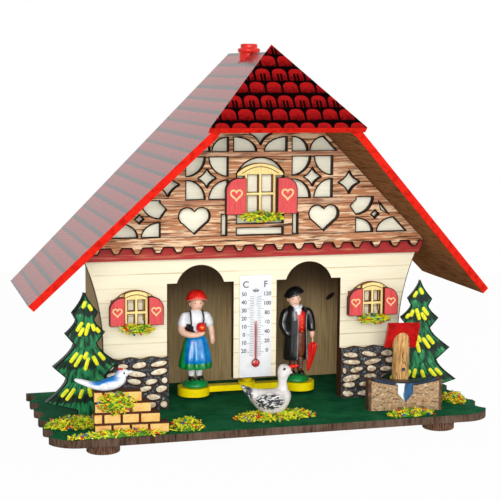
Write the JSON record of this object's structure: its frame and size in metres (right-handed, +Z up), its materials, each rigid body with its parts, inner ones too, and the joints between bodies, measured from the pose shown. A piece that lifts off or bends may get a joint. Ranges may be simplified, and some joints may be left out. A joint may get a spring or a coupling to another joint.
{
  "type": "weather_house",
  "caption": "Plywood cottage weather house: a man and a woman on a swinging arm come out of arched doors beside a thermometer, under a red hipped roof, in a yard with trees, goose and trough.",
  "frame": {"origin": "middle of the facade's front face, at table level under the feet", "axes": "+X to the viewer's right along the facade, +Y from the facade to the back wall, +Z up"},
  "size_m": [0.188, 0.0884, 0.1527],
  "materials": {
    "base_green": "painted plywood, burnt brown edges",
    "foot_brown": "moulded ribbed feet",
    "wall_cream": "painted plywood, burnt edges",
    "raw_ply": "stained bare plywood",
    "stone_grey": "painted plywood with cream stones",
    "band_red": "painted plywood",
    "timber_brown": "stained plywood, burnt edges",
    "roof_pink": "printed plywood with red edges",
    "tile_red": "printed tile pattern on plywood",
    "block_beech": "bare wood",
    "card_white": "printed card",
    "tube_glass": "glass capillary with red spirit",
    "frame_yellow": "painted plywood",
    "shutter_red": "painted plywood with heart outline",
    "crumb_green": "dyed crumb foliage",
    "tree_green": "painted plywood with yellow strokes",
    "brick_tan": "painted wood with dark joints",
    "bird_white": "painted casting",
    "goose_white": "painted casting",
    "trough_wood": "bare wood with bark ends",
    "water_blue": "thick blue paint",
    "post_wood": "bare wood",
    "board_red": "painted wood",
    "chimney_red": "painted turned wood",
    "gut": "twisted gut string",
    "arm_yellow": "moulded plastic",
    "woman_paint": "hand-painted moulding",
    "man_paint": "hand-painted moulding"
  },
  "bodies": {
    "house": {"base_plate": "base_green", "feet": "foot_brown", "front_wall": "wall_cream", "left_side_wall": "raw_ply", "right_side_wall": "raw_ply", "back_wall": "raw_ply", "left_stone_facing": "stone_grey", "right_stone_facing": "stone_grey", "gable_panel": "wall_cream", "eave_band": "band_red", "timber_overlay": "timber_brown", "left_roof": "roof_pink", "right_roof": "roof_pink", "hip_panel": "tile_red", "ridge_block": "block_beech", "thermometer_card": "card_white", "thermometer_tube": "tube_glass", "attic_window": "frame_yellow", "attic_left_shutter": "shutter_red", "attic_right_shutter": "shutter_red", "attic_flowers": "crumb_green", "left_window": "frame_yellow", "left_window_outer_shutter": "shutter_red", "left_window_inner_shutter": "shutter_red", "left_window_flowers": "crumb_green", "right_window": "frame_yellow", "right_window_outer_shutter": "shutter_red", "right_window_inner_shutter": "shutter_red", "right_window_flowers": "crumb_green", "left_tree": "tree_green", "right_tree": "tree_green", "brick_wall": "brick_tan", "bird": "bird_white", "goose": "goose_white", "trough": "trough_wood", "trough_water": "water_blue", "well_post": "post_wood", "well_roof": "board_red", "tree_left_tuft": "crumb_green", "brick_tuft": "crumb_green", "brick_top_tuft": "crumb_green", "step_tuft": "crumb_green", "goose_tuft": "crumb_green", "tree_right_tuft": "crumb_green", "trough_tuft": "crumb_green"},
    "adjuster": {"chimney": "chimney_red", "gut_string": "gut"},
    "figure_arm": {"figure_arm": "arm_yellow", "woman": "woman_paint", "man": "man_paint"}
  },
  "joints": [
    {"name": "chimney_adjuster", "type": "hinge", "parent": "house", "child": "adjuster", "pos_m": [0, 0.012, 0.136], "axis": [0, 0, 1], "range_deg": [-12, 12]},
    {"name": "gut_twist", "type": "hinge", "parent": "adjuster", "child": "figure_arm", "pos_m": [0, 0.012, 0.053], "axis": [0, 0, 1], "range_deg": [-28, 28], "stiffness_Nm_per_rad": 0.0005}
  ]
}
